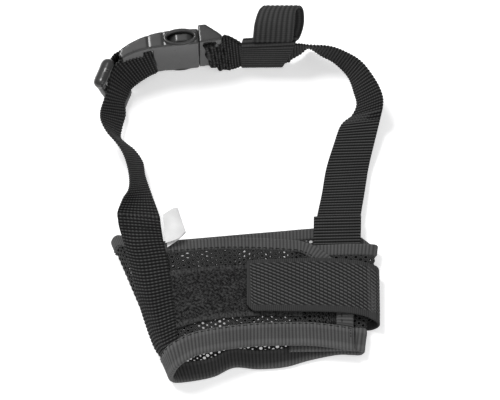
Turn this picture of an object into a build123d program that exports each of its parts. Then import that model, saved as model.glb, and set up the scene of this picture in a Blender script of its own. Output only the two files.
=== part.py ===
"""Soft mesh dog muzzle: a bound mesh sleeve with a hook-and-loop closure and an adjustable neck strap.

Millimetres. The muzzle lies on its under side: +X right, +Y from the nose end towards the neck
strap, +Z up, origin at the middle of the footprint.  Every fabric piece is a band between two
edges: a list of (edge, edge) point pairs along its length, swept as thin rectangles.  The pairs
are written from a point under the neck hole, footprint_shift short of the footprint's middle.
"""
from build123d import *
import os

os.makedirs("parts", exist_ok=True)

# ---------------------------------------------------------------- driving dimensions
webbing_width = 20.0
webbing_thickness = 1.4
mesh_thickness = 1.0
binding_thickness = 2.2
rear_binding_width = 6.0
nose_binding_width = 11.5
tape_thickness = 0.9
closure_thickness = 1.1
label_thickness = 0.5

buckle_width = 28.0
buckle_thickness = 8.0
slot_width = webbing_width + 1.5
window_depth = 4.4
arm_thickness = 4.2
prong_room = 5.0

slider_width = 25.0
slider_length = 14.0
slider_thickness = 2.6
slider_bar = 2.4

running_gap = 0.3
footprint_shift = 3.0

# ---------------------------------------------------------------- where things lie
# Sleeve wall as (rear edge, nose edge) pairs, from the flap's end over the top to the left seam.
flap_corner = [
    ((51, -50, 8.8), (51, -75.7, 7.6)),
    ((46, -36, 9.5), (46, -74.8, 7.8)),
    ((36, -30, 10.0), (37, -73.8, 8.4)),
]
top_wall = [
    ((27, -21.2, 10.8), (28, -73.6, 9.3)),
    ((9, -21, 12.5), (9, -75.7, 13)),
    ((-9, -22.5, 15.5), (-6, -78.9, 16)),
    ((-24, -25.5, 19), (-18, -82.7, 18.5)),
    ((-38, -28.5, 22.5), (-24.4, -86.1, 18)),
    ((-47, -29, 23), (-27.5, -87.8, 15.5)),
]
# The same wall from the left seam down the side, along the table and round the right fold.
side_wall = [
    top_wall[-1],
    ((-54.7, -23.5, 18.5), (-29.2, -88.4, 11)),
    ((-57.8, -20, 11), (-30.2, -88.5, 6.5)),
    ((-56.9, -18.4, 4.5), (-29.4, -88.3, 2.8)),
    ((-53, -18.2, 1.1), (-26.6, -87.9, 1.1)),
]
under_wall = [
    side_wall[-1],
    ((-35, -16.2, 1.1), (-18.9, -86.8, 1.1)),
    ((-20, -14.7, 1.1), (-11, -84.8, 1.1)),
    ((-10, -13.7, 1.1), (-2.6, -80.6, 1.1)),
    ((4, -12.3, 1.1), (8.1, -81.3, 1.1)),
    ((19, -10.9, 1.1), (20.1, -80.3, 1.1)),
    ((32, -9.8, 1.4), (31.4, -77.0, 1.3)),
    ((43, -9.6, 1.9), (43.5, -74.6, 1.8)),
    ((54, -14, 2.6), (50.5, -75, 2.5)),
]
right_fold = [
    under_wall[-1],
    ((60, -19, 3.4), (53.5, -75.3, 3.0)),
    ((62.3, -20.5, 5.4), (54.6, -74.8, 4.2)),
    ((60, -21.2, 7.4), (53.3, -74.6, 5.4)),
    ((50, -21.2, 7.6), (45.5, -74.3, 5.0)),
]
inner_wall = [
    right_fold[-1],
    ((36, -21.8, 7.4), (34.9, -74.4, 4.9)),
    ((22, -22.6, 7.8), (21.9, -75, 5.6)),
]
# Binding round the flap's corner and down its end, as (outer edge, inner edge) pairs.
flap_end = [
    ((27, -21.2, 10.8), (27.1, -27.2, 10.6)),
    ((32.7, -23.1, 10.4), (30.2, -28.8, 10.3)),
    ((37.7, -26.4, 10.1), (33.6, -31.6, 10.0)),
    ((43, -31, 9.8), (37.5, -36, 9.8)),
    ((48, -38.5, 9.5), (41, -42.8, 9.4)),
    ((50.3, -47, 9.0), (42.7, -50, 9.0)),
    ((50.9, -56, 8.5), (43.1, -57, 8.6)),
    ((50.9, -63.9, 8.05), (43.2, -62.8, 8.3)),
]
# Mesh between that binding's inner edge and the nose binding.
flap_mesh = [
    ((42.7, -50, 9.0), (43, -62.8, 8.4)),
    ((41, -42.8, 9.4), (41.8, -62.7, 8.5)),
    ((37.5, -36, 9.8), (39.5, -62.5, 8.7)),
    ((33.6, -31.6, 10.0), (36.5, -62.2, 8.9)),
    ((30.2, -28.8, 10.3), (32.5, -62.1, 9.2)),
]

# Closure strap as (rear edge, nose edge) pairs: the part that peels, its hook patch, and the anchor.
closure_run = [
    ((3.1, -34.9, 17.1), (3.1, -60.6, 17.4)),
    ((9, -33.8, 16.0), (9, -60.1, 16.3)),
    ((25, -32.1, 14.1), (25, -58.8, 13.5)),
    ((36, -31.2, 12.9), (36, -58.2, 12.0)),
    ((46, -31.3, 12.2), (46, -58.2, 11.2)),
    ((52, -31.9, 11.7), (51.8, -58.6, 10.5)),
    ((57.0, -32.4, 10.8), (56.8, -59.5, 9.5)),
]
hook_run = [
    ((5, -35.8, 15.65), (5, -59.2, 15.9)),
    ((9, -35.2, 14.9), (9, -58.8, 15.15)),
    ((25, -33.8, 12.95), (25, -57.5, 12.35)),
    ((34, -33.0, 11.95), (34, -57.0, 11.15)),
]
closure_fold = [
    ((57.4, -32.5, 10.7), (57.2, -59.6, 9.4)),
    ((61.7, -33.3, 9.0), (61.2, -61.1, 7.8)),
    ((62.9, -33.8, 5.6), (62.4, -61.9, 5.2)),
    ((61.2, -33.8, 2.0), (60.7, -61.8, 1.9)),
    ((57.3, -33.5, 0.6), (56.9, -61.9, 0.6)),
    ((46, -33, 0.6), (45.6, -61.4, 0.6)),
]

# Webbing as (outer or left edge, inner or right edge) pairs, from the sleeve outwards.
left_tab = [
    ((-54.2, -26.6, 21.8), (-34.6, -28.8, 24.6)),
    ((-54.9, -20, 23.2), (-35.4, -23, 26)),
    ((-55.6, -14, 23.8), (-36.2, -17.8, 26.2)),
]
left_neck = [
    ((-55.6, -13.6, 24), (-36.2, -17.4, 26.2)),
    ((-53, -9.5, 29), (-39.5, -5, 19.5)),
    ((-50.5, -5, 29.5), (-42, 4, 15)),
    ((-50.5, 4, 26), (-44.5, 14, 10)),
    ((-52.5, 14.5, 22.5), (-46, 23.5, 6)),
    ((-55, 21.5, 21), (-50, 31, 4)),
    ((-58.5, 27, 21), (-54, 35, 3)),
    ((-62, 31.5, 21), (-57, 38.5, 3)),
    ((-65, 38, 20), (-56.5, 44.5, 3)),
    ((-65.5, 43.5, 19.5), (-55, 51.5, 3.5)),
    ((-64, 49.5, 20), (-55.5, 57.5, 4)),
    ((-62.5, 56, 21.5), (-54, 61.5, 4.5)),
    ((-60.5, 62.5, 22), (-52.5, 65.5, 4.5)),
    ((-55.4, 66.2, 23), (-48.5, 69.5, 4.5)),
    ((-49.4, 69.6, 23.5), (-44, 73, 4.5)),
    ((-43.8, 72.2, 24), (-40.5, 75.2, 4.5)),
]
right_cheek = [
    ((53, -60, 4.1), (33, -60, 3.2)),
    ((54, -40, 4.3), (34, -40, 3.2)),
    ((54.8, -19.5, 4.8), (34.4, -19.3, 3.8)),
    ((55.5, -6.8, 5.2), (35.2, -6.6, 4.2)),
]
right_neck = [
    ((55.6, -6.4, 5.3), (35.3, -6.2, 4.3)),
    ((58, 8, 4.5), (38, 8, 3)),
    ((60.3, 22, 4), (40.3, 22, 2.2)),
    ((63.2, 34, 6.2), (44.2, 36, 1.5)),
    ((66, 45, 8.5), (47.7, 46.5, 1.2)),
    ((67.2, 49, 14.5), (52.5, 51, 1.2)),
    ((66.8, 54, 17.5), (55.7, 58, 1.2)),
    ((63.7, 61.5, 18.8), (54.6, 65.5, 1.2)),
    ((57.2, 71, 20), (52, 74.5, 1.2)),
    ((48.8, 77, 20), (45.8, 82.5, 1.2)),
    ((41.8, 79.6, 20), (39.6, 86.5, 1.5)),
    ((33.4, 80.3, 19.5), (33.2, 91, 1.9)),
    ((28, 80, 21.3), (28, 83.6, 2)),
    ((22, 79.5, 22), (22, 81.9, 2)),
    ((0.3, 79.5, 22), (0.3, 81.9, 2)),
]
plug_end = [
    ((-15.3, 75.7, 24.2), (-13, 77.9, 4.3)),
    ((-7, 78.4, 23.3), (-6.2, 79.6, 3.2)),
    ((-0.1, 79.5, 22), (-0.1, 81.9, 2)),
]
label_run = [
    ((-34.4, -17.3, 25.8), (-32.2, -30.2, 25.0)),
    ((-28.8, -11.7, 24.6), (-24.9, -23.6, 22.8)),
]

# Buckle plane: X along the buckle to its plug, Y through its thickness, Z across the webbing.
buckle_plane = Plane(origin=(-20.3, 82, 15.0), x_dir=(0.9945, 0.1045, 0), z_dir=(0.016, -0.156, 0.988))
# Slider plane: X along the strap, Y across it, Z towards the neck.
slider_plane = Plane(
    origin=(-60.1, 60.8, 12.7), x_dir=(0.316, 0.948, 0.045), z_dir=(0.844, -0.297, 0.331)
)


# ---------------------------------------------------------------- helpers
def vectors(edges):
    return [(Vector(*a), Vector(*b)) for a, b in edges]


def toward(start, end, distance):
    return start + (end - start).normalized() * distance


def rear_band(wall):
    return [(rear, toward(rear, nose, rear_binding_width)) for rear, nose in wall]


def nose_band(wall):
    return [(toward(nose, rear, nose_binding_width), nose) for rear, nose in wall]


def middle_band(wall):
    return [
        (toward(rear, nose, rear_binding_width), toward(nose, rear, nose_binding_width))
        for rear, nose in wall
    ]


def curve_point(before, start, end, after, t):
    """Point at t between start and end on a smooth curve through all four points."""
    return (
        start * 2
        + (end - before) * t
        + (before * 2 - start * 5 + end * 4 - after) * t**2
        + (start * 3 - before - end * 3 + after) * t**3
    ) * 0.5


def smooth(edges, steps):
    """Pairs with steps smooth spans between each two given pairs."""
    last = len(edges) - 1
    pairs = []
    for i in range(last):
        four = [edges[max(i - 1, 0)], edges[i], edges[i + 1], edges[min(i + 2, last)]]
        for k in range(steps):
            t = k / steps
            pairs.append(tuple(curve_point(*[pair[side] for pair in four], t) for side in (0, 1)))
    pairs.append(edges[last])
    return pairs


def export(piece, label):
    """Write a piece with the footprint's middle at the origin."""
    placed = piece.part.moved(Location((0, -footprint_shift, 0)))
    placed.label = label
    export_step(placed, f"parts/{label}.step")


def frames(edges, lift):
    """Plane and width of the cross-section at each pair, raised by lift from their surface."""
    middles = [(a + b) * 0.5 for a, b in edges]
    last = len(edges) - 1
    found = []
    for i, (a, b) in enumerate(edges):
        across = (a - b).normalized()
        travel = middles[min(i + 1, last)] - middles[max(i - 1, 0)]
        travel = (travel - across * travel.dot(across)).normalized()
        origin = middles[i] + across.cross(travel) * lift
        found.append((Plane(origin=origin, x_dir=across, z_dir=travel), (a - b).length))
    return found


def strip(label, edges, thickness, lift=0.0, tab=()):
    """Thin band whose edges run through the given pairs, with an optional second run, its tab."""
    runs = [frames(edges, lift)] + ([frames(tab, 0)] if tab else [])
    with BuildPart() as piece:
        for run in runs:
            for plane, width in run:
                with BuildSketch(plane):
                    Rectangle(width, thickness)
            loft(ruled=True)
    export(piece, label)


def between(first, second, t):
    """Edge pair a fraction t of the way from the first pair to the second."""
    return tuple(a + (b - a) * t for a, b in zip(first, second))


# ---------------------------------------------------------------- sleeve
top = smooth(vectors(top_wall), 2)
corner = vectors(flap_corner)
side = smooth(vectors(side_wall), 2)
around = (
    [between(side[0], side[1], 0.3)]
    + side[1:-1]
    + smooth(vectors(under_wall), 2)[:-1]
    + smooth(vectors(right_fold), 2)[:-1]
    + vectors(inner_wall)
)

strip("mesh_panel_top", vectors(flap_mesh) + middle_band(top), mesh_thickness)
strip("mesh_panel_under", middle_band(around), mesh_thickness)
strip("rear_binding_top", rear_band(top), binding_thickness)
strip("rear_binding_under", rear_band(around), binding_thickness)
strip("nose_binding_top", nose_band(corner + top), binding_thickness)
strip("nose_binding_under", nose_band(around), binding_thickness)
end_pairs = vectors(flap_end)
end_pairs[0] = between(end_pairs[0], end_pairs[1], 0.08)
strip("flap_end_binding", end_pairs, binding_thickness)

# Loop tape on the flap: a band of the top wall between two fractions of its length.
tape_start, tape_end = 0.26, 0.735
tape_lift = mesh_thickness / 2 + 0.05 + tape_thickness / 2
under_cheek = top[10:]
tape_cover = top[:10] + [between(top[9], top[10], 0.85)]
tape_wall = [(rear + (nose - rear) * tape_start, rear + (nose - rear) * tape_end) for rear, nose in tape_cover]
strip("loop_tape", tape_wall, tape_thickness, tape_lift)

# ---------------------------------------------------------------- closure strap
strip("closure_strap", vectors(closure_run), closure_thickness)
strip("hook_patch", vectors(hook_run), tape_thickness)
strip("closure_anchor", smooth(vectors(closure_fold), 2), closure_thickness)

# ---------------------------------------------------------------- webbing
# The left cheek webbing lies round the sleeve's shoulder, clear of its bindings, and its tab
# stands out behind the rear edge.
cheek_lift = binding_thickness / 2 + 0.1 + webbing_thickness / 2
cheek_outer_rear = between(side[2], side[3], 0.4)[0]
cheek_wall = under_cheek + side[1:3] + [(cheek_outer_rear, side[3][1])]
cheek_pairs = [
    (toward(rear, nose, -1.0), toward(nose, rear, nose_binding_width + 0.6)) for rear, nose in cheek_wall
]
strip("left_cheek_webbing", cheek_pairs, webbing_thickness, cheek_lift, vectors(left_tab))
strip("right_cheek_webbing", vectors(right_cheek), webbing_thickness)
strip("neck_strap_left", smooth(vectors(left_neck), 2), webbing_thickness)
strip("neck_strap_right", smooth(vectors(right_neck), 2), webbing_thickness)
strip("plug_webbing", vectors(plug_end), webbing_thickness)
strip("size_label", vectors(label_run), label_thickness)


def plane_pair(plane, x, depth, across):
    """Edge pair of a webbing that lies across a plane's axis named by across."""
    half = across * (webbing_width / 2)
    middle = plane.origin + plane.x_dir * x + depth
    return (middle + half, middle - half)


# Turn through the socket's slot and outer run back to the slider's middle bar.
outward = slider_plane.z_dir * -1
buckle_across = buckle_plane.z_dir
buckle_turn = [(-24.2, -3.8), (-24.0, 0), (-24.6, 3.0), (-27.5, 3.7), (-31.5, 2.4), (-40.2, -1.8)]
return_run = [plane_pair(buckle_plane, x, buckle_plane.y_dir * y, buckle_across) for x, y in buckle_turn] + [
    plane_pair(slider_plane, x, outward * 2.4, slider_plane.y_dir) for x in (8.0, -1.2)
]
strip("strap_return", return_run, webbing_thickness)

# ---------------------------------------------------------------- buckle
mouth = 0.0
slot_far, slot_near = -26.5, -22.0
window_start, window_end = -15.0, -2.0

with BuildPart() as socket:
    with BuildSketch(buckle_plane.offset(-buckle_width / 2)):
        with BuildLine():
            Spline((mouth, 3.6), (-12, 4.0), (-24, 2.4), (-37, -3.6))
            Line((-37, -3.6), (-38.2, -6.4))
            Line((-38.2, -6.4), (-36.6, -8.4))
            Spline((-36.6, -8.4), (-24, -4.5), (-12, -4.0), (mouth, -3.8))
            Line((mouth, -3.8), (mouth, 3.6))
        make_face()
    extrude(amount=buckle_width)
    # room for the plug's prongs, open at the mouth
    with BuildSketch(buckle_plane.offset(-buckle_width / 2 + window_depth)):
        with Locations((-10.5, 0)):
            Rectangle(21.0 + 2 * running_gap, prong_room)
    extrude(amount=buckle_width - 2 * window_depth, mode=Mode.SUBTRACT)
    # side windows for the release arms
    for side in (-buckle_width / 2, buckle_width / 2 - window_depth - 0.5):
        with BuildSketch(buckle_plane.offset(side)):
            with Locations(((window_start + window_end) / 2, 0)):
                Rectangle(window_end - window_start, prong_room)
        extrude(amount=window_depth + 0.5, mode=Mode.SUBTRACT)
    # strap slot beside the end bar
    with BuildSketch(buckle_plane.offset(-slot_width / 2)):
        with Locations(((slot_far + slot_near) / 2, 0)):
            Rectangle(slot_near - slot_far, 2 * buckle_thickness)
    extrude(amount=slot_width, mode=Mode.SUBTRACT)
export(socket, "buckle_socket")

plug_start, plug_tail = running_gap, 11.2
plug_slot_start, plug_slot_end = 4.6, 7.6
with BuildPart() as plug:
    with BuildSketch(buckle_plane.offset(-buckle_width / 2)):
        with BuildLine():
            Polyline(
                (plug_start, -3.4),
                (plug_start, 5.6),
                (4.0, 5.6),
                (plug_tail - 1.3, 0.6),
                (plug_tail, -0.8),
                (plug_tail - 0.3, -3.0),
                (plug_start, -3.4),
            )
        make_face()
    extrude(amount=buckle_width)
    with BuildSketch(buckle_plane.offset(-slot_width / 2)):
        with Locations(((plug_slot_start + plug_slot_end) / 2, 0)):
            Rectangle(plug_slot_end - plug_slot_start, 2 * buckle_thickness)
    extrude(amount=slot_width, mode=Mode.SUBTRACT)
    # guide tongue
    with BuildSketch(buckle_plane.offset(-2.5)):
        with Locations((-8.8, 0)):
            Rectangle(18.8, 3.4)
    extrude(amount=5.0)
export(plug, "buckle_plug")


def release_arm(label, side):
    """Springy arm with a thumb pad that fills the socket's side window; side is +1 or -1."""
    across_plane = Plane(
        origin=buckle_plane.origin - buckle_plane.y_dir * (arm_thickness / 2),
        x_dir=buckle_plane.x_dir,
        z_dir=buckle_plane.y_dir,
    )
    # in this plane local Y runs against the buckle's Z
    s = -side
    with BuildPart() as arm:
        with BuildSketch(across_plane):
            with BuildLine():
                Polyline(
                    (0.2, s * 5.0),
                    (0.2, s * 8.2),
                    (-2.3, s * 9.0),
                    (-2.3, s * 12.6),
                    (-5.0, s * 13.6),
                    (-10.5, s * 13.6),
                    (-14.6, s * 11.2),
                    (-14.6, s * 8.4),
                    (-11.0, s * 7.0),
                    (-4.0, s * 5.8),
                    (0.2, s * 5.0),
                )
            make_face()
        extrude(amount=arm_thickness)
    export(arm, label)


release_arm("release_arm_upper", 1)
release_arm("release_arm_lower", -1)

# ---------------------------------------------------------------- slider
with BuildPart() as slider:
    with BuildSketch(slider_plane.offset(-slider_thickness / 2)):
        RectangleRounded(slider_length, slider_width, 2.4)
        opening = (slider_length - 3 * slider_bar) / 2
        with Locations(((opening + slider_bar) / 2, 0), (-(opening + slider_bar) / 2, 0)):
            Rectangle(opening, slider_width - 2 * slider_bar, mode=Mode.SUBTRACT)
    extrude(amount=slider_thickness)
export(slider, "triglide_slider")

# ---------------------------------------------------------------- collar loop
# One webbing in a figure eight: a flat sleeve round the neck strap and an open loop behind its top.
sleeve_gap = 3.0
loop_wall = 1.4
loop_plane = Plane(origin=(0, 80.7, 12.2), x_dir=(0, -0.12, 0.993), z_dir=(1, 0, 0))
lobe_plane = Plane(origin=(0, 87.0, 28.2), x_dir=(0, 0.84, 0.54), z_dir=(1, 0, 0))
sleeve_inner = webbing_width + 1.6
with BuildPart() as collar_loop:
    with BuildSketch(loop_plane.offset(0.6)):
        SlotOverall(sleeve_inner + 2 * loop_wall, sleeve_gap + 2 * loop_wall)
    extrude(amount=webbing_width)
    with BuildSketch(lobe_plane.offset(7.0)):
        Ellipse(8.8, 5.6)
    extrude(amount=webbing_width)
    with BuildSketch(loop_plane.offset(0)):
        Rectangle(sleeve_inner, sleeve_gap)
    extrude(amount=webbing_width + 8, mode=Mode.SUBTRACT)
    with BuildSketch(lobe_plane.offset(6)):
        Ellipse(8.8 - loop_wall, 5.6 - loop_wall)
    extrude(amount=webbing_width + 2, mode=Mode.SUBTRACT)
export(collar_loop, "collar_loop")

# ---------------------------------------------------------------- box stitches
stitch_width = 0.7
stitch_height = 0.35


def box_stitch(label, plane, length, width):
    """Stitched box with a cross, lying on a webbing's face."""
    bars = [
        ((0, width / 2), length, 0),
        ((0, -width / 2), length, 0),
        ((length / 2, 0), width, 90),
        ((-length / 2, 0), width, 90),
    ]
    with BuildPart() as stitch:
        with BuildSketch(plane):
            for spot, size, turn in bars:
                with Locations(Location((*spot, 0), (0, 0, turn))):
                    Rectangle(size + stitch_width, stitch_width)
        extrude(amount=stitch_height)
    export(stitch, label)


right_stitch_plane = Plane(origin=(45.2, -12.6, 5.3), x_dir=(1, 0, 0.045), z_dir=(-0.045, -0.02, 1))
left_stitch_plane = Plane(origin=(-46.5, -18.6, 26.0), x_dir=(1, 0, 0.17), z_dir=(-0.17, -0.12, 1))
box_stitch("right_box_stitch", right_stitch_plane, 15.0, 9.0)
box_stitch("left_box_stitch", left_stitch_plane, 14.0, 6.0)
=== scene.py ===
"""Looks of the soft mesh dog muzzle: woven webbing, bound netting, hook-and-loop closure, moulded buckle.

Shapes are written in millimetres, from the point the CAD part's stations use, and made in metres in
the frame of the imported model.  Every fabric piece follows a patch: rows of points along its length,
from its first edge to its second.
"""

import math

import bpy
import numpy as np
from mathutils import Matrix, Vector


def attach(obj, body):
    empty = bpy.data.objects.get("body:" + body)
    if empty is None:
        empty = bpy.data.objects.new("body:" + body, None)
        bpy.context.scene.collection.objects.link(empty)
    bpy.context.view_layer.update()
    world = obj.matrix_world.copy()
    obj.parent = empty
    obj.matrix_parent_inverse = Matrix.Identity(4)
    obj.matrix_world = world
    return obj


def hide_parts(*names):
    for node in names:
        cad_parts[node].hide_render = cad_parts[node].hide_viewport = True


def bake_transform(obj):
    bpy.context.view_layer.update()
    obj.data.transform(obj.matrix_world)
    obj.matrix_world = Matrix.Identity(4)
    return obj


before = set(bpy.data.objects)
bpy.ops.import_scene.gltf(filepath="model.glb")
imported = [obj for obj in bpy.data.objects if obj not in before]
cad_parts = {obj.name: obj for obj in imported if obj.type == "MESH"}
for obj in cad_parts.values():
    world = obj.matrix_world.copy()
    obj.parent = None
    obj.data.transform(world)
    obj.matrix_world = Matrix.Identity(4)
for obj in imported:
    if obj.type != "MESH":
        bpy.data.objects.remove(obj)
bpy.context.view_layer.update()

MM = 0.001
FOOTPRINT_SHIFT = np.array([0, 3.0, 0])
WEBBING_THICK, WEBBING_RIB = 1.4, 1.53
BINDING_THICK, BINDING_RIB = 2.2, 1.6
REAR_BINDING, NOSE_BINDING, NOSE_BINDING_UNDER = 6.0, 11.5, 9.4
NET_PITCH, NET_THICK = 2.37, 0.75
NET_HOLE, NET_HOLE_UNDER, NET_HOLE_FOLDED = 0.5, 0.7, 0.36
NET_UNDER_REAR, NET_UNDER_NOSE = 1.5, 3.5
ROW_STEPS = 12
WEBBING_ACROSS = 0.31
STITCH_RADIUS, BINDING_STITCH_RADIUS = 0.17, 0.16
SLIDER_HALF = 9.4
SOFTENING = 0.13

# ---------------------------------------------------------------- stations, as in the CAD part
flap_corner = [
    ((51, -50, 8.8), (51, -75.7, 7.6)),
    ((46, -36, 9.5), (46, -74.8, 7.8)),
    ((36, -30, 10.0), (37, -73.8, 8.4)),
]
top_wall = [
    ((27, -21.2, 10.8), (28, -73.6, 9.3)),
    ((9, -21, 12.5), (9, -75.7, 13)),
    ((-9, -22.5, 15.5), (-6, -78.9, 16)),
    ((-24, -25.5, 19), (-18, -82.7, 18.5)),
    ((-38, -28.5, 22.5), (-24.4, -86.1, 18)),
    ((-47, -29, 23), (-27.5, -87.8, 15.5)),
]
side_wall = [
    ((-54.9, -22.5, 18.5), (-29.2, -88.4, 11)),
    ((-58.2, -20.8, 11), (-30.2, -88.5, 6.5)),
    ((-57.4, -20, 4.5), (-29.4, -88.3, 2.8)),
    ((-53, -18.6, 1.1), (-26.6, -87.9, 1.1)),
]
under_wall = [
    ((-35, -16.2, 1.1), (-18.9, -86.8, 1.1)),
    ((-20, -14.7, 1.1), (-11, -84.8, 1.1)),
    ((-10, -13.7, 1.1), (-2.6, -80.6, 1.1)),
    ((4, -12.3, 1.1), (8.1, -81.3, 1.1)),
    ((19, -10.9, 1.1), (20.1, -80.3, 1.1)),
    ((32, -9.8, 1.4), (31.4, -77.0, 1.3)),
    ((43, -9.6, 1.9), (43.5, -74.6, 1.8)),
    ((54, -14, 2.6), (50.5, -75, 2.5)),
]
right_fold = [
    ((60, -19, 3.4), (53.5, -75.3, 3.0)),
    ((62.3, -20.5, 5.4), (54.6, -74.8, 4.2)),
    ((60, -21.2, 7.4), (53.3, -74.6, 5.4)),
    ((50, -21.2, 7.6), (45.5, -74.3, 5.0)),
]
inner_wall = [
    ((36, -21.8, 7.4), (34.9, -74.4, 4.9)),
    ((22, -22.6, 7.8), (21.9, -75, 5.6)),
]
flap_end = [
    ((27, -21.2, 10.8), (27.1, -27.2, 10.6)),
    ((32.7, -23.1, 10.4), (30.2, -28.8, 10.3)),
    ((37.7, -26.4, 10.1), (33.6, -31.6, 10.0)),
    ((43, -31, 9.8), (37.5, -36, 9.8)),
    ((48, -38.5, 9.5), (41, -42.8, 9.4)),
    ((50.3, -47, 9.0), (42.7, -50, 9.0)),
    ((50.9, -56, 8.5), (43.1, -57, 8.6)),
    ((50.9, -63.9, 8.05), (43.2, -62.8, 8.3)),
]
flap_mesh = [
    ((42.7, -50, 9.0), (43, -62.8, 8.4)),
    ((41, -42.8, 9.4), (41.8, -62.7, 8.5)),
    ((37.5, -36, 9.8), (39.5, -62.5, 8.7)),
    ((33.6, -31.6, 10.0), (36.5, -62.2, 8.9)),
    ((30.2, -28.8, 10.3), (32.5, -62.1, 9.2)),
]

closure_run = [
    ((3.1, -35.0, 17.1), (3.1, -57.4, 17.3)),
    ((5.3, -34.5, 16.7), (6.2, -60.2, 17.0)),
    ((12, -33.4, 15.6), (12.3, -59.8, 15.8)),
    ((25, -32.1, 14.1), (25, -58.8, 13.5)),
    ((36, -31.2, 12.9), (36, -58.2, 12.0)),
    ((46, -31.3, 12.2), (46, -58.2, 11.2)),
    ((52, -31.9, 11.7), (51.8, -58.6, 10.5)),
    ((57.0, -32.4, 10.8), (56.8, -59.5, 9.5)),
    ((61.4, -33.2, 9.3), (61.0, -60.9, 8.1)),
]
hook_run = [
    ((5, -35.8, 15.65), (5, -59.2, 15.9)),
    ((9, -35.2, 14.9), (9, -58.8, 15.15)),
    ((25, -33.8, 12.95), (25, -57.5, 12.35)),
    ((34, -33.0, 11.95), (34, -57.0, 11.15)),
]
closure_fold = [
    ((57.4, -32.5, 10.7), (57.2, -59.6, 9.4)),
    ((61.7, -33.3, 9.0), (61.2, -61.1, 7.8)),
    ((62.9, -33.8, 5.6), (62.4, -61.9, 5.2)),
    ((61.2, -33.8, 2.0), (60.7, -61.8, 1.9)),
    ((57.3, -33.5, 0.6), (56.9, -61.9, 0.6)),
    ((46, -33, 0.6), (45.6, -61.4, 0.6)),
]

left_neck = [
    ((-55.6, -13.6, 24), (-36.2, -17.4, 26.2)),
    ((-53, -9.5, 29), (-39.5, -5, 19.5)),
    ((-50.5, -5, 29.5), (-42, 4, 15)),
    ((-50.5, 4, 26), (-44.5, 14, 10)),
    ((-52.5, 14.5, 22.5), (-46, 23.5, 6)),
    ((-55, 21.5, 21), (-50, 31, 4)),
    ((-58.5, 27, 21), (-54, 35, 3)),
    ((-62, 31.5, 21), (-57, 38.5, 3)),
    ((-65, 38, 20), (-56.5, 44.5, 3)),
    ((-65.5, 43.5, 19.5), (-55, 51.5, 3.5)),
    ((-64, 49.5, 20), (-55.5, 57.5, 4)),
    ((-62.5, 56, 21.5), (-54, 61.5, 4.5)),
    ((-61.2, 63.6, 23), (-52.5, 65.5, 4.5)),
    ((-56.4, 69, 25), (-48.5, 69.5, 4.5)),
    ((-50, 72.8, 25.6), (-44, 73, 4.5)),
    ((-43.8, 74.6, 25.2), (-40.5, 75.2, 4.5)),
]
right_cheek = [
    ((53, -60, 4.1), (33, -60, 3.2)),
    ((54, -40, 4.3), (34, -40, 3.2)),
    ((54.8, -19.5, 4.8), (34.4, -19.3, 3.8)),
    ((55.5, -6.8, 5.2), (35.2, -6.6, 4.2)),
]
right_neck = [
    ((55.6, -6.4, 5.3), (35.3, -6.2, 4.3)),
    ((58, 8, 4.5), (38, 8, 3)),
    ((60.3, 22, 4), (40.3, 22, 2.2)),
    ((63.2, 34, 6.2), (44.2, 36, 1.5)),
    ((66, 45, 8.5), (47.7, 46.5, 1.2)),
    ((67.2, 49, 14.5), (52.5, 51, 1.2)),
    ((66.8, 54, 17.5), (55.7, 58, 1.2)),
    ((63.7, 61.5, 18.8), (54.6, 65.5, 1.2)),
    ((57.2, 71, 20), (52, 74.5, 1.2)),
    ((48.8, 77, 20), (45.8, 82.5, 1.2)),
    ((41.8, 79.6, 20), (39.6, 86.5, 1.5)),
    ((33.4, 80.3, 19.5), (33.2, 91, 1.9)),
    ((28.4, 80, 21.3), (28.8, 87.2, 2.4)),
    ((24.5, 79.7, 21.7), (24.5, 84.2, 2.4)),
    ((21, 79.5, 22), (21, 82.2, 2.2)),
    ((0.3, 79.5, 22), (0.3, 81.9, 2)),
]
plug_end = [
    ((-11.5, 79.6, 26.0), (-9, 78.4, 2.2)),
    ((-7, 81.2, 26.6), (-5.6, 79, 0.9)),
    ((-3, 80.4, 24.8), (-2.4, 80.2, 0.9)),
    ((0.4, 79.3, 22.6), (0.6, 81.2, 1.6)),
    ((3.4, 79.5, 21.8), (3.4, 81.7, 2.1)),
]
label_run = [
    ((-34.8, -15.8, 25.5), (-33.4, -30.2, 24.9)),
    ((-30.6, -12.4, 25.3), (-27.6, -27.5, 24.2)),
    ((-28.8, -11.7, 24.6), (-24.9, -23.6, 23.0)),
    ((-28.6, -11.8, 24.0), (-24.8, -23.9, 22.4)),
    ((-31.0, -13.6, 24.2), (-28.0, -27.6, 23.0)),
    ((-34.8, -16.8, 24.4), (-32.6, -31.6, 23.4)),
]
# Cheek webbing's inner edge on the sleeve: how far each place is from the rear edge (0) to the
# nose edge (1), its X, and how far the webbing's middle is from the wall; the end goes under the binding.
cheek_inner = [
    (0.03, -34.2, 1.95),
    (0.15, -32.6, 1.95),
    (0.32, -31.0, 1.7),
    (0.55, -29.2, 1.5),
    (0.72, -27.8, 1.3),
    (0.79, -27.3, 0.9),
    (0.83, -27.0, 0.1),
    (0.88, -26.7, 0.0),
]
left_tab = [
    ((-55.6, -13.2, 23.8), (-36.2, -17.0, 26.2)),
    ((-54.9, -20, 23.2), (-35.4, -23, 26)),
]
right_root = [
    ((55.9, -5.6, 6.6), (34.0, -5.6, 5.6)),
    ((55.6, -14, 6.4), (33.8, -14, 5.4)),
    ((55.2, -21.6, 6.2), (33.6, -21.6, 5.2)),
]


def unit(v):
    return v / np.maximum(np.linalg.norm(v, axis=-1, keepdims=True), 1e-9)


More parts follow.
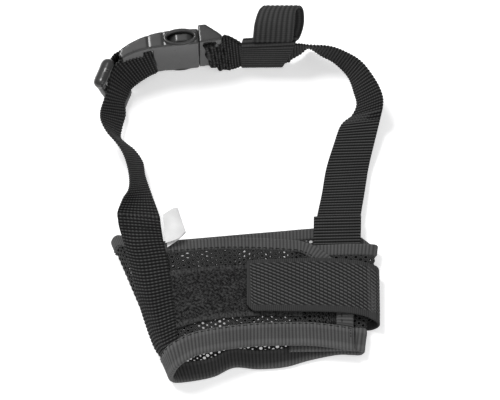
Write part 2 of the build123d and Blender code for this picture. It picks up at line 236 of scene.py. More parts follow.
def smooth_rows(rows, steps):
    """Rows with steps smooth spans between each two given rows."""
    p = np.array(rows, float)
    ext = np.concatenate([2 * p[:1] - p[1:2], p, 2 * p[-1:] - p[-2:-1]])
    out = []
    for i in range(len(p) - 1):
        a, b, c, d = ext[i : i + 4]
        for t in np.arange(steps) / steps:
            bend = (2 * a - 5 * b + 4 * c - d) * t * t + (3 * b - a - 3 * c + d) * t**3
            out.append(0.5 * (2 * b + (c - a) * t + bend))
    out.append(p[-1])
    return np.array(out)


class Patch:
    """A smooth sheet through rows of points; s is millimetres along it, v from 0 to 1 across it."""

    def __init__(self, rows, steps=ROW_STEPS):
        self.grid = smooth_rows(rows, steps) if steps else np.array(rows, float)
        middle = self.grid.mean(1)
        spans = np.linalg.norm(np.diff(middle, axis=0), axis=1)
        self.s = np.concatenate([[0], np.cumsum(spans)])
        self.length = self.s[-1]
        self.widths = np.linalg.norm(np.diff(self.grid, axis=1), axis=2).sum(1)
        self.width = float(self.widths.mean())
        travel = np.gradient(self.grid, axis=0)
        across = np.gradient(self.grid, axis=1)
        self.normals = unit(np.cross(-across, travel))

    def pick(self, table, s, v):
        s, v = np.broadcast_arrays(np.asarray(s, float), np.asarray(v, float))
        rows, columns = table.shape[:2]
        fi = np.interp(s, self.s, np.arange(rows))
        fj = np.clip(v, 0, 1) * (columns - 1)
        i = np.minimum(fi.astype(int), rows - 2)
        j = np.minimum(fj.astype(int), columns - 2)
        f, g = (fi - i)[..., None], (fj - j)[..., None]
        near = table[i, j] * (1 - g) + table[i, j + 1] * g
        far = table[i + 1, j] * (1 - g) + table[i + 1, j + 1] * g
        return near * (1 - f) + far * f

    def at(self, s, v):
        return self.pick(self.grid, s, v)

    def normal(self, s, v):
        return unit(self.pick(self.normals, s, v))

    def fraction(self, s, mm_from_first):
        return mm_from_first / np.interp(s, self.s, self.widths)


def rear_rows(rows, start, end):
    """Rows of a band that runs start to end millimetres from the first edge."""
    along = unit(rows[:, 1] - rows[:, 0])
    return np.stack([rows[:, 0] + along * start, rows[:, 0] + along * end], 1)


def nose_rows(rows, start, end):
    """Rows of a band that runs from start to end millimetres short of the second edge."""
    along = unit(rows[:, 1] - rows[:, 0])
    return np.stack([rows[:, 1] - along * start, rows[:, 1] - along * end], 1)


# ---------------------------------------------------------------- mesh making
def finish_piece(obj, body, material, nodes=()):
    obj.data.materials.clear()
    obj.data.materials.append(material)
    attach(obj, body)
    if nodes:
        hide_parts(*nodes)
    return obj


def mesh_object(name, points, quads, weave=None):
    """Smooth-shaded object from points in millimetres and rows of four corner numbers."""
    mesh = bpy.data.meshes.new(name)
    mesh.vertices.add(len(points))
    placed = (np.asarray(points, float) - FOOTPRINT_SHIFT) * MM
    mesh.vertices.foreach_set("co", placed.astype(np.float32).ravel())
    mesh.loops.add(quads.size)
    mesh.loops.foreach_set("vertex_index", quads.astype(np.int32).ravel())
    mesh.polygons.add(len(quads))
    mesh.polygons.foreach_set("loop_start", np.arange(0, quads.size, 4, dtype=np.int32))
    mesh.polygons.foreach_set("loop_total", np.full(len(quads), 4, dtype=np.int32))
    mesh.polygons.foreach_set("use_smooth", np.ones(len(quads), dtype=bool))
    if weave is not None:
        layer = mesh.attributes.new("weave", "FLOAT_VECTOR", "POINT")
        layer.data.foreach_set("vector", np.asarray(weave, np.float32).ravel())
    mesh.update(calc_edges=True)
    mesh.validate()
    obj = bpy.data.objects.new(name, mesh)
    bpy.context.scene.collection.objects.link(obj)
    return obj


def spread(width, step, edge):
    """Fractions across a band, closer together near both edges."""
    round_off = edge * (1 - np.cos(np.linspace(0, math.pi / 2, 5)))
    inner = np.linspace(edge, width - edge, max(int((width - 2 * edge) / step), 2) + 1)[1:-1]
    return np.concatenate([round_off, inner, width - round_off[::-1]]) / width


def band(name, patch, thickness, relief, amount, step=0.26, across=0.45, edge=0.6, lift=0.0, shape=None):
    """Closed woven band along a patch.  relief(s, v) gives 0 in a groove and 1 on a crest."""
    s = np.linspace(0, patch.length, int(patch.length / step) + 1)[:, None]
    v = spread(patch.width, across, edge)[None, :]
    place, normal = patch.at(s, v), patch.normal(s, v)
    beside = (v - 0.5) * patch.width
    from_edge = np.minimum(v, 1 - v) * patch.width
    fall = np.sqrt(1 - (1 - np.minimum(from_edge / edge, 1)) ** 2)
    from_end = np.minimum(s, patch.length - s)
    fall = fall * (0.45 + 0.55 * np.sqrt(1 - (1 - np.minimum(from_end / 0.8, 1)) ** 2))
    if shape is not None:
        place = place + normal * shape(s, beside)[..., None]
    faces = []
    for side in (1, -1):
        crest = relief(s, beside) if side > 0 else relief(s + WEBBING_RIB / 2, beside)
        height = fall * (thickness / 2 + (crest - 0.6) * amount)
        faces.append((place + normal * (lift + side * height)[..., None], crest))
    (top, crest_top), (bottom, crest_bottom) = faces
    n, m = top.shape[:2]
    ring = np.concatenate([top, bottom[:, m - 2 : 0 : -1]], 1)
    flat = np.broadcast_to(np.stack(np.broadcast_arrays(s, beside), -1), (n, m, 2))
    # The crest value is stored with the weave; the materials use it to paint shade into the grooves.
    weave = np.concatenate([flat, crest_top[..., None]], 2)
    back = np.concatenate([flat, crest_bottom[..., None]], 2)[:, m - 2 : 0 : -1]
    weave = np.concatenate([weave, back], 1)
    k = ring.shape[1]
    first = (np.arange(n - 1)[:, None] * k + np.arange(k)[None, :]).ravel()
    following = (np.arange(n - 1)[:, None] * k + (np.arange(k)[None, :] + 1) % k).ravel()
    quads = np.stack([first, following, following + k, first + k], 1)
    columns = np.arange(1, m - 1)
    cap = np.stack([columns, k - columns, (k - columns - 1) % k, columns + 1], 1)[:-1]
    quads = np.concatenate([quads, cap, cap[:, ::-1] + (n - 1) * k])
    return mesh_object(name, ring.reshape(-1, 3), quads, weave.reshape(-1, 3))


# ---------------------------------------------------------------- weaves
def bars(x, pitch, power=0.8):
    return (0.5 + 0.5 * np.cos(2 * math.pi * x / pitch)) ** power


def webbing_weave(s, v):
    """Straight cross ribs, cut into narrow lengthwise warp groups."""
    return bars(s, WEBBING_RIB, 0.9) * (0.5 + 0.5 * bars(v, 1.7))


def ribbed_weave(s, v):
    """Flat-lying webbing, where only the cross ribs show."""
    return bars(s, WEBBING_RIB, 1.0) * (0.88 + 0.12 * bars(v, 1.25))


def lobe_weave(s, v):
    """Webbing seen across its ribs: broad lengthwise bands over faint cross ribs."""
    return (0.3 + 0.7 * bars(v, 2.35, 0.8)) * (0.6 + 0.4 * bars(s, 0.9))


def sleeve_loop_weave(s, v):
    return bars(s, 1.9, 0.8) * (0.75 + 0.25 * bars(v, 1.25))


def binding_weave(s, v):
    fine = 0.85 + 0.15 * bars(v, 0.8)
    rim = np.clip((np.abs(v) - 2.3) * 1.2, 0, 1) * 0.25
    return np.clip(bars(s, BINDING_RIB, 0.6) * fine * 0.8 + rim, 0, 1)


def closure_weave(s, v):
    """Columns of short slanting floats between plain selvedges."""
    column, pitch = 1.8, 1.7
    index = np.floor(s / column)
    along = s / column - index - 0.5
    slant = bars(v - 0.75 * along + pitch / 2 * (index % 2), pitch, 1.5)
    floats = slant * np.clip((1 - np.abs(along) * 2) * 4, 0, 1)
    zone = np.clip((11.4 + v) * 2, 0, 1) * np.clip((10.4 - v) * 2, 0, 1) * np.clip((s - 2.4) * 2, 0, 1)
    plain = 0.3 * bars(s, 0.9) + 0.22
    return floats * zone + plain * (1 - zone)


def pile(s, v):
    """Brushed loop pile: sums of waves that never repeat within the tape."""
    a = np.sin(s * 7.1 + 2.3 * np.sin(v * 3.7)) * np.sin(v * 6.3 + 1.9 * np.sin(s * 2.9))
    b = np.sin(s * 13.7 + v * 9.1) * np.sin(v * 15.1 - s * 11.3)
    return np.clip(0.42 + 0.3 * a + 0.28 * b, 0, 1)


def tape_pile(s, v):
    """Pile between two flat ribbed selvedges."""
    zone = np.clip((np.abs(v) - 11.0) * 3, 0, 1)
    return pile(s, v) * (1 - zone) + (0.55 + 0.35 * bars(s, 1.4)) * zone


def satin(s, v):
    """Fine lengthwise lines, the same all along."""
    return 0.5 + 0.3 * bars(v, 0.5) + 0 * s


def netting_faces(cells, lattice):
    """Faces of netting cells, with the points that neighbours and both faces share joined into one.

    A cell has three rings of corners on each face: outer, middle and hole.  lattice gives each outer
    corner's place as whole numbers.  Returns which of the cells' points to keep, and the faces.
    """
    corners = lattice.shape[1]
    per_face, per_cell = 3 * corners, 6 * corners
    quads = []
    for side, start in ((1, 0), (-1, per_face)):
        for ring in (0, corners):
            for k in range(corners):
                a, b = start + ring + k, start + ring + (k + 1) % corners
                c, d = a + corners, b + corners
                quads.append((a, b, d, c) if side > 0 else (b, a, c, d))
    quads = (np.array(quads)[None] + (np.arange(cells) * per_cell)[:, None, None]).reshape(-1, 4)
    own = np.arange(cells * corners).reshape(cells, corners)
    own = np.stack([own, np.zeros_like(own)], -1)
    kinds = [(0, lattice), (2, own), (4, own), (1, lattice), (3, own), (4, own)]
    keys = [np.concatenate([np.full((cells, corners, 1), kind), spot], -1) for kind, spot in kinds]
    keys = np.concatenate(keys, 1).reshape(-1, 3)
    _, kept, joined = np.unique(keys, axis=0, return_index=True, return_inverse=True)
    joined = joined.ravel()
    upper = joined.reshape(cells, per_cell)[:, :corners]
    lower = joined.reshape(cells, per_cell)[:, per_face : per_face + corners]
    upper_next, lower_next = np.roll(upper, -1, 1), np.roll(lower, -1, 1)
    pairs = np.sort(np.stack([upper, upper_next], -1).reshape(-1, 2), 1)
    _, which, uses = np.unique(pairs, axis=0, return_inverse=True, return_counts=True)
    rim = np.stack([upper_next, upper, lower, lower_next], -1).reshape(-1, 4)
    return kept, np.concatenate([joined[quads], rim[uses[which.ravel()] == 1]])


def netting(name, patch, opening, dense_from=1e9, dense_opening=0.0):
    """Closed knitted netting: rings of thread round holes, whose radius may drop from one place on."""
    pitch, corners, first_row = NET_PITCH, 12, 0.6
    corner = pitch / math.sqrt(3)
    angles = np.arange(corners) * 2 * math.pi / corners
    outer = np.stack([np.cos(angles), np.sin(angles)], 1) * corner
    outer[1::2] *= math.cos(math.pi / 6)
    hole = np.stack([np.cos(angles), np.sin(angles) * 0.92], 1) * opening
    middle = outer * 0.45 + hole * 0.55
    # Each ring's third number is its crest value. It is low at the cell's rim and round the hole, so the
    # colour there takes painted shade.
    rings = [(outer, 0.42, 0.35), (middle, 0.6, 1.0), (hole, 0.0, 0.1)]
    spacing = corner * 1.5
    centres = []
    for row in range(int(patch.length / spacing)):
        s = (row + first_row) * spacing
        wide = np.interp(s, patch.s, patch.widths)
        for column in range(int(wide / pitch) + 1):
            centres.append((s, (column + 0.5 * (row % 2)) * pitch))
    centres = np.array(centres)
    uneven = 1 + 0.35 * np.sin(centres[:, 0] * 5.3 + centres[:, 1] * 3.1)
    uneven = np.where(centres[:, 0] > dense_from, uneven * dense_opening / opening, uneven)
    points, weave = [], []
    for side in (1, -1):
        for shape, height, crest in rings:
            swell = uneven[:, None, None] if shape is hole else 1.0
            sv = centres[:, None, :] + shape[None] * swell
            s, mm = sv[..., 0], sv[..., 1]
            v = patch.fraction(s, mm)
            wobble = 0.16 * np.sin(s * 1.9 + mm * 2.3)
            lifted = patch.normal(s, v) * (side * NET_THICK * height + wobble)[..., None]
            points.append(patch.at(s, v) + lifted)
            weave.append(np.stack([s, mm, np.full_like(s, crest)], -1))
    cells = len(centres)
    points = np.stack(points, 1).reshape(-1, 3)
    weave = np.stack(weave, 1).reshape(-1, 3)
    lattice = (centres[:, None, :] + outer[None] - [first_row * spacing, 0]) / [corner / 4, pitch / 4]
    kept, quads = netting_faces(cells, np.round(lattice).astype(np.int64))
    return mesh_object(name, points[kept], quads, weave[kept])


def thread(name, runs, radius, sides=6):
    """One mesh of round threads, each along a run of points in millimetres."""
    points, quads = [], []
    for run in runs:
        line = smooth_rows(np.array(run, float)[:, None, :], 4)[:, 0]
        travel = unit(np.gradient(line, axis=0))
        aside = unit(np.cross(travel, np.array([0.31, 0.22, 0.93])))
        over = np.cross(aside, travel)
        start = len(points)
        for i in range(len(line)):
            taper = radius * (0.5 if i in (0, len(line) - 1) else 1.0)
            for k in range(sides):
                turn = 2 * math.pi * k / sides
                points.append(line[i] + (aside[i] * math.cos(turn) + over[i] * math.sin(turn)) * taper)
        for i in range(len(line) - 1):
            for k in range(sides):
                a, b = start + i * sides + k, start + i * sides + (k + 1) % sides
                quads.append((a, b, b + sides, a + sides))
        for ring in (start, start + (len(line) - 1) * sides):
            for k in range(1, sides - 2, 2):
                quads.append((ring, ring + k, ring + k + 1, ring + k + 2))
    points = np.array(points)
    weave = np.concatenate([points[:, :2], np.full((len(points), 1), 0.8)], 1)
    return mesh_object(name, points, np.array(quads), weave)


def seam(patch, across_mm, lift, start=1.0, end=None, length=2.1, gap=0.7, side=1):
    """Runs of single stitches along a patch, across_mm from its first edge."""
    runs = []
    s, stop = start, (patch.length - 1.0 if end is None else end)
    while s + length < stop:
        along = s + np.linspace(0, length, 5)
        v = patch.fraction(along, across_mm)
        rise = np.array([-0.35, 0.1, 0.16, 0.1, -0.35]) + lift
        runs.append(patch.at(along, v) + patch.normal(along, v) * (side * rise)[:, None])
        s += length + gap
    return runs


def cross_seam(patch, s, first, last, lift, length=1.5, gap=0.5):
    """Stitches across a patch, at s millimetres along it, between two distances from its first edge."""
    runs = []
    mm = first
    while mm + length <= last + 1e-6:
        v = patch.fraction(s, mm + np.linspace(0, length, 4))
        rise = np.array([-0.25, 0.14, 0.14, -0.25]) + lift
        runs.append(patch.at(s, v) + patch.normal(s, v) * rise[:, None])
        mm += length + gap
    return runs


def box_seam(patch, start, end, first, last, lift):
    """Stitched box on a patch, from start to end along it and first to last across it."""
    runs = cross_seam(patch, start, first, last, lift) + cross_seam(patch, end, first, last, lift)
    for across in (first, last):
        runs += seam(patch, across, lift, start, end, length=1.5, gap=0.5)
    return runs


def moulding(name, source, body, shape=None):
    """Softened copy of a moulded CAD part: remeshed finely and smoothed, then shaped by a function."""
    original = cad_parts[source]
    scratch = bpy.data.objects.new(name + "_scratch", original.data.copy())
    bpy.context.scene.collection.objects.link(scratch)
    scratch.matrix_world = original.matrix_world
    remesh = scratch.modifiers.new("remesh", "REMESH")
    remesh.mode, remesh.voxel_size = "VOXEL", 0.00034
    soften = scratch.modifiers.new("soften", "SMOOTH")
    soften.factor, soften.iterations = 0.5, 12
    view = bpy.context.evaluated_depsgraph_get()
    mesh = bpy.data.meshes.new_from_object(scratch.evaluated_get(view), depsgraph=view)
    mesh.name = name
    bpy.data.objects.remove(scratch)
    count = len(mesh.vertices)
    place, facing = np.zeros(count * 3), np.zeros(count * 3)
    mesh.vertices.foreach_get("co", place)
    mesh.vertices.foreach_get("normal", facing)
    if shape is not None:
        place, facing = place.reshape(-1, 3), facing.reshape(-1, 3)
        place = place + facing * (shape(place / MM + FOOTPRINT_SHIFT) * MM)[:, None]
        mesh.vertices.foreach_set("co", place.astype(np.float32).ravel())
    mesh.polygons.foreach_set("use_smooth", np.ones(len(mesh.polygons), dtype=bool))
    mesh.update()
    made = bpy.data.objects.new(name, mesh)
    bpy.context.scene.collection.objects.link(made)
    made.matrix_world = original.matrix_world
    return finish_piece(made, body, plastic_look, (source,))


# ---------------------------------------------------------------- materials
def new_material(name):
    material = bpy.data.materials.new(name)
    material.use_nodes = True
    tree = material.node_tree
    shader = tree.nodes["Principled BSDF"]
    return material, tree, shader


def node(tree, kind, **values):
    made = tree.nodes.new(kind)
    for key, value in values.items():
        if key in made.inputs:
            made.inputs[key].default_value = value
        else:
            setattr(made, key, value)
    return made


def math_node(tree, operation, *values, clamp=False):
    made = tree.nodes.new("ShaderNodeMath")
    made.operation, made.use_clamp = operation, clamp
    for socket, value in zip(made.inputs, values):
        if isinstance(value, (int, float)):
            socket.default_value = value
        else:
            tree.links.new(value, socket)
    return made.outputs[0]


def mix_colour(tree, factor, a, b, blend="MIX"):
    made = tree.nodes.new("ShaderNodeMix")
    made.data_type, made.blend_type = "RGBA", blend
    for socket, value in ((made.inputs[0], factor), (made.inputs[6], a), (made.inputs[7], b)):
        if isinstance(value, (int, float)):
            socket.default_value = value
        elif isinstance(value, tuple):
            socket.default_value = (*value, 1.0)
        else:
            tree.links.new(value, socket)
    return made.outputs[2]


def noise(tree, scale, detail=3.0, rough=0.6):
    place = tree.nodes.new("ShaderNodeTexCoord")
    made = node(tree, "ShaderNodeTexNoise", Scale=scale, Detail=detail, Roughness=rough)
    tree.links.new(place.outputs["Object"], made.inputs["Vector"])
    return made.outputs["Fac"]


def grey(value, warm=0.0):
    return (value * (1 + warm), value, value * (1 - warm))


def woven(name, groove, crest, roughness=0.85, fleck=0.5, bump=0.25, sharp=1.2, yarn_scale=2600):
    """Fabric: grooves darkened as painted shade and crests lightened, yarn fleck, a little dust and wear,
    fine fibre bump.
    """
    material, tree, shader = new_material(name)
    weave = node(tree, "ShaderNodeAttribute", attribute_name="weave")
    parts = tree.nodes.new("ShaderNodeSeparateXYZ")
    tree.links.new(weave.outputs["Vector"], parts.inputs[0])
    yarn = noise(tree, yarn_scale, 2.0)
    wear = noise(tree, 70, 4.0)
    height = math_node(tree, "POWER", parts.outputs["Z"], sharp)
    fleck_part = math_node(tree, "MULTIPLY", math_node(tree, "SUBTRACT", yarn, 0.5), fleck)
    level = math_node(tree, "ADD", height, fleck_part, clamp=True)
    # Painted shade: the weave's crest value sets the colour, from the dark groove colour in the recesses to
    # the lighter crest colour on top.
    base = mix_colour(tree, level, grey(groove), grey(crest))
    shade = math_node(tree, "MULTIPLY_ADD", wear, 0.5, 0.75)
    tone = tree.nodes.new("ShaderNodeCombineColor")
    for socket in tone.inputs:
        tree.links.new(shade, socket)
    colour = mix_colour(tree, 1.0, base, tone.outputs[0], "MULTIPLY")
    tree.links.new(colour, shader.inputs["Base Color"])
    rough = math_node(tree, "MULTIPLY_ADD", yarn, 0.16, roughness - 0.08)
    tree.links.new(rough, shader.inputs["Roughness"])
    shader.inputs["Sheen Weight"].default_value = 0.03
    shader.inputs["Sheen Roughness"].default_value = 0.5
    shader.inputs["Specular IOR Level"].default_value = 0.14
    relief = node(tree, "ShaderNodeBump", Strength=bump, Distance=0.00015)
    tree.links.new(noise(tree, 5200, 2.0), relief.inputs["Height"])
    tree.links.new(relief.outputs[0], shader.inputs["Normal"])
    return material


def moulded(name, base, roughness=0.3):
    """Moulded acetal: deep grey, faint flow variation, fine mould texture."""
    material, tree, shader = new_material(name)
    flow = noise(tree, 160, 3.0)
    colour = mix_colour(tree, flow, grey(base * 0.75), grey(base * 1.3))
    tree.links.new(colour, shader.inputs["Base Color"])
    rough = math_node(tree, "MULTIPLY_ADD", noise(tree, 300, 3.0), 0.14, roughness - 0.07)
    tree.links.new(rough, shader.inputs["Roughness"])
    shader.inputs["Coat Weight"].default_value = 0.1
    shader.inputs["Coat Roughness"].default_value = 0.12
    relief = node(tree, "ShaderNodeBump", Strength=0.03, Distance=0.0001)
    tree.links.new(noise(tree, 1500, 2.0), relief.inputs["Height"])
    tree.links.new(relief.outputs[0], shader.inputs["Normal"])
    return material


# Each woven look takes the groove colour, darkened as painted shade, and then the lighter crest colour.
webbing_look = woven("webbing_look", 0.0015, 0.076, sharp=2.1)
loop_look = woven("loop_look", 0.008, 0.058, sharp=1.1)
binding_look = woven("binding_look", 0.034, 0.104, fleck=0.35)
net_look = woven("net_look", 0.001, 0.055, fleck=0.9, sharp=2.0)
pile_look = woven("pile_look", 0.004, 0.05, roughness=0.95, fleck=3.4, bump=0.8, yarn_scale=950)
closure_look = woven("closure_look", 0.009, 0.1, fleck=0.3, sharp=1.4)
hook_look = woven("hook_look", 0.008, 0.03)
thread_look = woven("thread_look", 0.004, 0.018)
label_look = woven("label_look", 0.58, 0.72, fleck=0.2, bump=0.1)
plastic_look = moulded("plastic_look", 0.02)

# ---------------------------------------------------------------- sleeve
wall_stations = top_wall + side_wall + under_wall + right_fold + inner_wall
wall = smooth_rows(wall_stations, ROW_STEPS)
seam_row = ROW_STEPS * (len(top_wall) - 1)
net_rear = rear_rows(wall, REAR_BINDING - NET_UNDER_REAR, 0)[:, 0]
net_nose = nose_rows(wall, NOSE_BINDING - NET_UNDER_NOSE, 0)[:, 0]
net_wall = np.stack([net_rear, net_nose], 1)
net_top_rows = np.concatenate([smooth_rows(flap_mesh, ROW_STEPS), net_wall[ROW_STEPS // 2 : seam_row + 1]])
net_top = finish_piece(
    netting("sleeve_netting_top", Patch(net_top_rows, steps=0), NET_HOLE),
    "sleeve", net_look, ("mesh_panel_top",),
)
under_patch = Patch(net_wall[seam_row - 4 :], steps=0)
fold_start = under_patch.s[ROW_STEPS * (len(side_wall) + len(under_wall)) + 4]
net_under = finish_piece(
    netting("sleeve_netting_under", under_patch, NET_HOLE_UNDER, fold_start, NET_HOLE_FOLDED),
    "sleeve", net_look, ("mesh_panel_under",),
)

flap_rows = smooth_rows(flap_end[::-1], ROW_STEPS)
rear_patch = Patch(np.concatenate([flap_rows, rear_rows(wall, 0, REAR_BINDING)[4:]]), steps=0)
finish_piece(
    band("rear_binding", rear_patch, BINDING_THICK, binding_weave, 0.2, edge=1.0),
    "sleeve", binding_look, ("rear_binding_top", "rear_binding_under", "flap_end_binding"),
)
nose_wall = smooth_rows(flap_corner + wall_stations, ROW_STEPS)
nose_width = np.interp(
    np.arange(len(nose_wall)),
    [130, 160, 240, 270],
    [NOSE_BINDING, NOSE_BINDING_UNDER, NOSE_BINDING_UNDER, NOSE_BINDING],
)
nose_patch = Patch(nose_rows(nose_wall, nose_width[:, None], 0), steps=0)
finish_piece(
    band("nose_binding", nose_patch, BINDING_THICK, binding_weave, 0.2, edge=1.0),
    "sleeve", binding_look, ("nose_binding_top", "nose_binding_under"),
)

tape_wall = wall[: seam_row - 5]
tape_edges = [tape_wall[:, 0] * (1 - down) + tape_wall[:, 1] * down for down in (0.26, 0.735)]
tape_patch = Patch(np.stack(tape_edges, 1), steps=0)
tape = finish_piece(
    band("loop_pile_tape", tape_patch, 0.9, tape_pile, 0.35, step=0.3, across=0.3, lift=1.0),
    "sleeve", pile_look, ("loop_tape",),
)
binding_seams = seam(nose_patch, 1.1, BINDING_THICK / 2, end=105)
binding_seams += seam(rear_patch, 5.3, BINDING_THICK / 2, end=150)
binding_seams += cross_seam(nose_patch, 1.6, 1.5, 5.5, BINDING_THICK / 2, length=1.2, gap=0.2)
finish_piece(
    thread("binding_stitches", binding_seams, BINDING_STITCH_RADIUS), "sleeve", thread_look
)

# ---------------------------------------------------------------- closure
closure_patch = Patch(closure_run)
closure = band("closure_webbing", closure_patch, 1.1, closure_weave, 0.3, step=0.2, across=0.22)
closure.data.materials.append(closure_look)
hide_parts("closure_strap")
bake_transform(closure)
finish_piece(
    band("closure_anchor_cloth", Patch(closure_fold), 1.1, closure_weave, 0.2, step=0.3, across=0.4),
    "sleeve", closure_look, ("closure_anchor",),
)
finish_piece(
    band("hook_tape", Patch(hook_run), 0.9, pile, 0.3, step=0.35, across=0.35),
    "closure", hook_look, ("hook_patch",),
)

# ---------------------------------------------------------------- webbing
def draped_row(down, left, above):
    """Points round the sleeve's shoulder, a webbing width from the inner edge at X = left."""
    ring = wall[:, 0] * (1 - down) + wall[:, 1] * down
    normals = Patch(wall, steps=0).normals[:, 0]
    ring = (ring + normals * above)[seam_row - 26 : seam_row + 48]
    along = np.concatenate([[0], np.cumsum(np.linalg.norm(np.diff(ring, axis=0), axis=1))])
    start = np.interp(-left, -ring[:40, 0], along[:40])
    wanted = start + np.linspace(20.0, 0.0, 11)
    return np.stack([np.interp(wanted, along, ring[:, axis]) for axis in range(3)], 1)


cheek_rows = [np.linspace(first, second, 11) for first, second in left_tab]
cheek_rows += [draped_row(*entry) for entry in cheek_inner]
cheek_patch = Patch(cheek_rows, steps=10)
finish_piece(
    band("left_cheek_strap", cheek_patch, WEBBING_THICK, webbing_weave, 0.55, across=WEBBING_ACROSS),
    "sleeve", webbing_look, ("left_cheek_webbing",),
)
finish_piece(
    band("right_cheek_strap", Patch(right_cheek), WEBBING_THICK, webbing_weave, 0.45, across=WEBBING_ACROSS),
    "sleeve", webbing_look, ("right_cheek_webbing",),
)
root_patch = Patch(right_root)
finish_piece(
    band("right_root_doubling", root_patch, WEBBING_THICK, ribbed_weave, 0.5, across=WEBBING_ACROSS),
    "sleeve", webbing_look,
)
right_box = box_seam(root_patch, 2.0, 11.5, 2.6, 18.6, WEBBING_THICK / 2)
finish_piece(
    thread("right_root_stitches", right_box, STITCH_RADIUS),
    "sleeve", thread_look, ("right_box_stitch",),
)
left_box = box_seam(cheek_patch, 1.6, 7.6, 2.6, 17.6, WEBBING_THICK / 2)
finish_piece(
    thread("left_root_stitches", left_box, STITCH_RADIUS),
    "sleeve", thread_look, ("left_box_stitch",),
)


def strap(name, pairs, nodes, weave=webbing_weave):
    made = band(name, Patch(pairs), WEBBING_THICK, weave, 0.55, across=WEBBING_ACROSS)
    made.data.materials.append(webbing_look)
    if nodes:
        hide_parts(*nodes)
    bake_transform(made)
    return made


def axes(x_dir, z_dir):
    x, z = unit(np.array(x_dir)), unit(np.array(z_dir))
    return x, np.cross(z, x), z


buckle_origin = np.array([-20.3, 82, 15.0])
buckle_x, buckle_y, buckle_z = axes((0.9945, 0.1045, 0), (0.016, -0.156, 0.988))
slider_origin = np.array([-60.1, 60.8, 12.7])
slider_x, slider_y, slider_z = axes((0.316, 0.948, 0.045), (0.844, -0.297, 0.331))


def buckle_point(x, y, z):
    return buckle_origin + buckle_x * x + buckle_y * y + buckle_z * z


def buckle_pair(x, y, half=10.0, slant=0.0):
    return (buckle_point(x - slant, y, half), buckle_point(x + slant, y, -half))


def slider_pair(x):
    middle = slider_origin + slider_x * x - slider_z * 1.8
    return (middle + slider_y * SLIDER_HALF, middle - slider_y * SLIDER_HALF)


left_root = [((-55.2, -17.6, 22.2), (-35.9, -21.4, 24.8))]
strap(
    "neck_strap_left_cloth", left_root + left_neck + [buckle_pair(-22.9, -3.9, 10.6)],
    ("neck_strap_left",),
)
right_start = [((55.3, -12, 5.2), (35.1, -12, 4.2))]
strap(
    "neck_strap_right_lower", right_start + right_neck[:6],
    ("neck_strap_right",), ribbed_weave,
)
strap(
    "neck_strap_right_upper", right_neck[4:],
    (),
)
turn = [(-24.2, -3.8), (-24.0, 0), (-24.6, 2.6), (-27.5, 2.6), (-31.5, 0.8), (-37.0, -2.2), (-40.4, -4.2)]
turn_rows = [buckle_pair(x, y, SLIDER_HALF) for x, y in turn] + [slider_pair(8.0), slider_pair(-1.2)]
finish_piece(
    band("strap_return_cloth", Patch(turn_rows), WEBBING_THICK, webbing_weave, 0.45, across=WEBBING_ACROSS),
    "neck_loop", webbing_look, ("strap_return",),
)


def crumple(s, v):
    """Wrinkles of the bunched end, dying out towards the collar loop."""
    waves = 0.5 * np.sin(1.5 * s + 0.5 * v) + 0.35 * np.sin(0.9 * v - 0.7 * s)
    waves = waves + 0.25 * np.sin(2.3 * s - 1.1 * v)
    return waves * np.clip((15 - s) / 4, 0, 1) * np.clip(s / 2, 0, 1)


plug_rows = [buckle_pair(5.4, -1.2, 10.6, 1.4), buckle_pair(4.9, -4.6, 10.8, 1.6)] + plug_end
finish_piece(
    band(
        "plug_strap_end", Patch(plug_rows), 2.3, webbing_weave, 0.5,
        across=WEBBING_ACROSS, edge=1.0, shape=crumple,
    ),
    "plug", webbing_look, ("plug_webbing",),
)

# ---------------------------------------------------------------- collar loop
lobe_centre = np.array([0, 87.0, 28.2])
lobe_long, lobe_short = np.array([0, 0.841, 0.541]), np.array([0, -0.541, 0.841])
lobe_rows = []
for turned, left, right in (
    (196, 6.2, 24.0), (172, 5.6, 24.6), (140, 5.9, 25.1), (90, 6.6, 25.5), (45, 8.4, 26.2),
    (15, 10.4, 27.6), (-15, 11.4, 29.2), (-45, 11.2, 30.2), (-90, 10.4, 30.3), (-140, 9.2, 28.4),
    (-172, 8.0, 26.0),
):
    angle = math.radians(turned)
    middle = lobe_centre + lobe_long * 8.1 * math.cos(angle) + lobe_short * 4.7 * math.sin(angle)
    lobe_rows.append((middle + np.array([left, 0, 0]), middle + np.array([right, 0, 0])))
finish_piece(
    band("collar_loop_lobe", Patch(lobe_rows), WEBBING_THICK, lobe_weave, 0.35, across=0.3),
    "collar_loop", loop_look, ("collar_loop",),
)
ring_rows = [
    ((1.5, 83.0, 20.6), (27.0, 83.4, 22.6)),
    ((0.8, 81.0, 22.8), (27.0, 81.6, 24.6)),
    ((0.4, 78.7, 21.6), (25.8, 78.9, 23.4)),
    ((0.2, 78.6, 17.0), (24.6, 78.7, 17.0)),
    ((0.2, 79.2, 9.0), (22.3, 79.3, 9.0)),
    ((0.2, 80.0, 2.6), (20.6, 80.1, 2.8)),
    ((0.6, 82.2, 1.0), (20.8, 82.3, 1.0)),
    ((1.2, 84.3, 2.8), (22.6, 84.2, 2.8)),
    ((1.5, 84.2, 10.0), (25.0, 84.0, 10.0)),
    ((1.5, 83.7, 20.4), (27.0, 83.6, 21.0)),
]
finish_piece(
    band(
        "collar_loop_sleeve", Patch(ring_rows), WEBBING_THICK, sleeve_loop_weave, 0.45,
        across=WEBBING_ACROSS,
    ),
    "collar_loop", loop_look,
)

label = finish_piece(
    band("size_label_cloth", Patch(label_run, steps=6), 0.35, satin, 0.03, step=0.3, across=0.3, edge=0.2),
    "label", label_look, ("size_label",),
)

# ---------------------------------------------------------------- moulded parts
def socket_lines(place):
    """Parting grooves round the socket's outer faces, and the thickness that smoothing takes off."""
    along = (place - buckle_origin) @ buckle_x
    out = np.abs((place - buckle_origin) @ buckle_z) > 12.5
    groove = np.full(len(place), SOFTENING)
    for line in (-23.8, -16.6):
        groove -= 0.18 * np.exp(-(((along - line) / 0.6) ** 2)) * out
    return groove


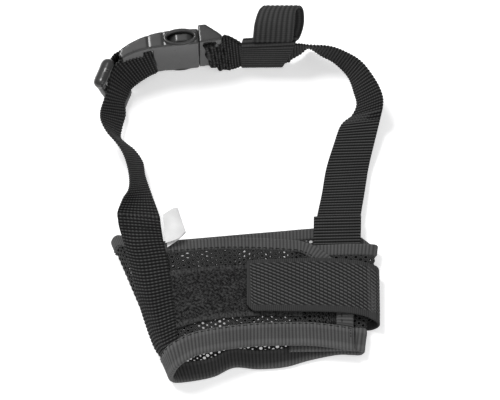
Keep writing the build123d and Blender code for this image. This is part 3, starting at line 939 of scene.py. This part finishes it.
def plug_swell(place):
    """The thickness that smoothing takes off."""
    return np.full(len(place), SOFTENING)


def slider_swell(place):
    """Overall swell of the slider's section, more at its upper end. The lower end rests on the table."""
    return 0.7 + 1.4 * np.clip(((place - slider_origin) @ slider_y - 10.5) / 1.5, 0, 1)


moulding("socket_moulding", "buckle_socket", "neck_loop", socket_lines)
moulding("plug_moulding", "buckle_plug", "plug", plug_swell)
moulding("upper_arm_moulding", "release_arm_upper", "arm_upper")
moulding("lower_arm_moulding", "release_arm_lower", "arm_lower")
moulding("slider_moulding", "triglide_slider", "slider", slider_swell)
turns = np.linspace(0, 2 * math.pi, 33)
rims = [
    [buckle_point(-8.6 + 7.3 * math.cos(t), 3.5 * math.sin(t), side * 13.9) for t in turns]
    for side in (1, -1)
]
rim = thread("window_rims", rims, 1.0, sides=12)
finish_piece(rim, "neck_loop", plastic_look)

# ---------------------------------------------------------------- stage, light and camera
bpy.ops.mesh.primitive_plane_add(size=4, location=(0, 0, -0.0003))
floor = bpy.context.object
floor.name = "floor"
floor_look, _, floor_shader = new_material("floor_look")
floor_shader.inputs["Base Color"].default_value = (0.92, 0.92, 0.925, 1)
floor_shader.inputs["Roughness"].default_value = 0.6
floor_shader.inputs["Emission Color"].default_value = (1, 1, 1, 1)
floor_shader.inputs["Emission Strength"].default_value = 0.4
floor.data.materials.append(floor_look)

world = bpy.data.worlds.new("studio")
bpy.context.scene.world = world
world.use_nodes = True
world.node_tree.nodes["Background"].inputs[0].default_value = (1, 1, 1, 1)
world.node_tree.nodes["Background"].inputs[1].default_value = 0.42


def area_light(name, place, target, size, power):
    light = bpy.data.lights.new(name, "AREA")
    light.shape, light.size, light.energy = "DISK", size, power
    obj = bpy.data.objects.new(name, light)
    bpy.context.scene.collection.objects.link(obj)
    obj.location = place
    obj.rotation_euler = (Vector(target) - Vector(place)).to_track_quat("-Z", "Y").to_euler()


area_light("key_light", (-0.42, 0.34, 0.95), (0, 0, 0), 0.45, 9)
area_light("fill_light", (0.3, -0.6, 0.8), (0, 0, 0), 0.8, 2.5)

camera_data = bpy.data.cameras.new("camera")
camera_data.lens, camera_data.sensor_width = 150, 36
camera = bpy.data.objects.new("camera", camera_data)
bpy.context.scene.collection.objects.link(camera)
camera.location = (0.0045, -0.4840, 0.8444)
camera.rotation_euler = (math.radians(30), 0, 0)
bpy.context.scene.camera = camera
bpy.context.scene.view_settings.view_transform = "Standard"
